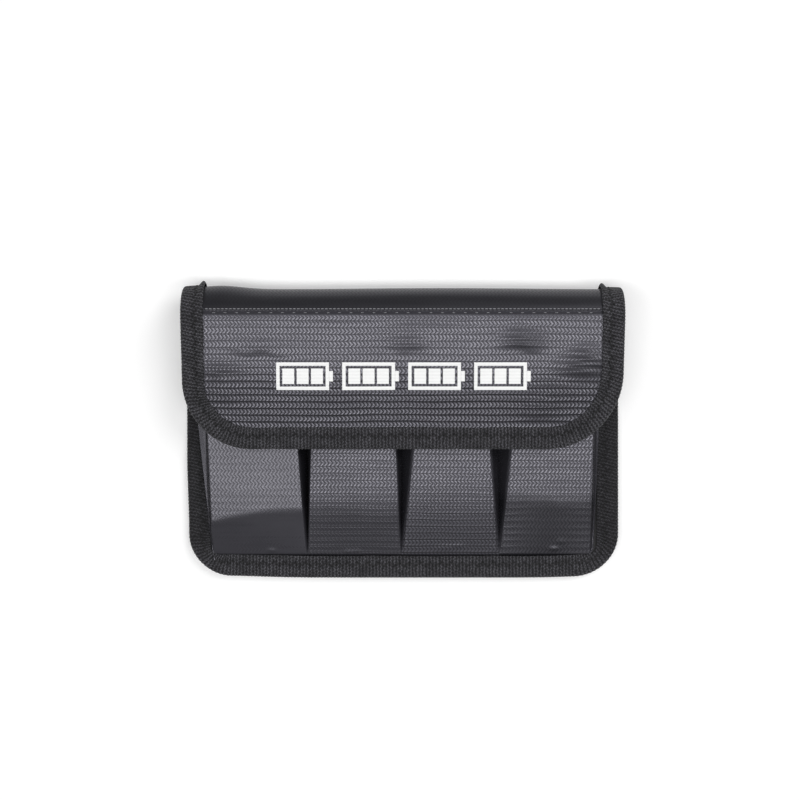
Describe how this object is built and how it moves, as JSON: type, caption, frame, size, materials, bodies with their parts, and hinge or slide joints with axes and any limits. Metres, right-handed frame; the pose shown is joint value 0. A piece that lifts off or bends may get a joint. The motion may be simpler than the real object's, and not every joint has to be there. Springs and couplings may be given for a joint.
{
  "type": "lipo safe bag",
  "caption": "Soft bound pouch lying on its back: a row of tapered gusseted pockets for battery packs, a rounded spine and a flap that closes over the pocket mouths with hook and loop",
  "frame": {"origin": "On the resting surface, under the centre of the closed pouch", "axes": "+X across the pouch, +Y from the bottom seam to the rounded spine, +Z out of the front, through the flap"},
  "size_m": [0.195, 0.1306, 0.0252],
  "materials": {
    "coated_fabric": "satin",
    "gusset_fabric": "matte",
    "felt": "matte",
    "lining_cloth": "matte",
    "webbing": "matte",
    "hook_tape": "matte",
    "loop_tape": "matte"
  },
  "bodies": {
    "body": {"back_shell": "coated_fabric", "back_core": "felt", "back_lining": "lining_cloth", "body_binding": "webbing", "pocket_seam_strip": "coated_fabric", "gusset_left": "gusset_fabric", "gusset_1_2": "gusset_fabric", "gusset_2_3": "gusset_fabric", "gusset_3_4": "gusset_fabric", "gusset_right": "gusset_fabric"},
    "spine_lower": {"spine_lower_shell": "coated_fabric", "spine_lower_lining": "lining_cloth", "spine_lower_binding_left": "webbing", "spine_lower_binding_right": "webbing"},
    "spine_mid": {"spine_mid_shell": "coated_fabric", "spine_mid_lining": "lining_cloth", "spine_mid_binding_left": "webbing", "spine_mid_binding_right": "webbing"},
    "spine_upper": {"spine_upper_shell": "coated_fabric", "spine_upper_lining": "lining_cloth", "spine_upper_binding_left": "webbing", "spine_upper_binding_right": "webbing"},
    "flap": {"flap_shell": "coated_fabric", "flap_core": "felt", "flap_lining": "lining_cloth", "flap_binding": "webbing", "hook_strip": "hook_tape"},
    "pocket_1": {"pocket_1_front": "coated_fabric", "pocket_1_hem": "webbing", "pocket_1_loop_patch": "loop_tape"},
    "pocket_2": {"pocket_2_front": "coated_fabric", "pocket_2_hem": "webbing", "pocket_2_loop_patch": "loop_tape"},
    "pocket_3": {"pocket_3_front": "coated_fabric", "pocket_3_hem": "webbing", "pocket_3_loop_patch": "loop_tape"},
    "pocket_4": {"pocket_4_front": "coated_fabric", "pocket_4_hem": "webbing", "pocket_4_loop_patch": "loop_tape"}
  },
  "joints": [
    {"name": "lower_fold", "type": "hinge", "parent": "body", "child": "spine_lower", "pos_m": [0, 0.0527, 0], "axis": [-1, 0, 0], "range_deg": [0, 30]},
    {"name": "lower_spine_fold", "type": "hinge", "parent": "spine_lower", "child": "spine_mid", "pos_m": [0, 0.06361, 0.0063], "axis": [-1, 0, 0], "range_deg": [0, 60]},
    {"name": "upper_spine_fold", "type": "hinge", "parent": "spine_mid", "child": "spine_upper", "pos_m": [0, 0.06361, 0.0189], "axis": [-1, 0, 0], "range_deg": [0, 60]},
    {"name": "flap_fold", "type": "hinge", "parent": "spine_upper", "child": "flap", "pos_m": [0, 0.0527, 0.0252], "axis": [-1, 0, 0], "range_deg": [0, 38.4]},
    {"name": "pocket_1_seam", "type": "hinge", "parent": "body", "child": "pocket_1", "pos_m": [0, -0.05515, 0.00335], "axis": [1, 0, 0], "range_deg": [-6, 0], "deforming": ["gusset_left", "gusset_1_2"]},
    {"name": "pocket_2_seam", "type": "hinge", "parent": "body", "child": "pocket_2", "pos_m": [0, -0.05515, 0.00335], "axis": [1, 0, 0], "range_deg": [-6, 0], "deforming": ["gusset_1_2", "gusset_2_3"]},
    {"name": "pocket_3_seam", "type": "hinge", "parent": "body", "child": "pocket_3", "pos_m": [0, -0.05515, 0.00335], "axis": [1, 0, 0], "range_deg": [-6, 0], "deforming": ["gusset_2_3", "gusset_3_4"]},
    {"name": "pocket_4_seam", "type": "hinge", "parent": "body", "child": "pocket_4", "pos_m": [0, -0.05515, 0.00335], "axis": [1, 0, 0], "range_deg": [-6, 0], "deforming": ["gusset_3_4", "gusset_right"]}
  ],
  "couplings": [
    {"joint": "lower_spine_fold", "follows": "lower_fold", "ratio": 2},
    {"joint": "upper_spine_fold", "follows": "lower_fold", "ratio": 2},
    {"joint": "flap_fold", "follows": "lower_fold", "ratio": 1.28}
  ]
}
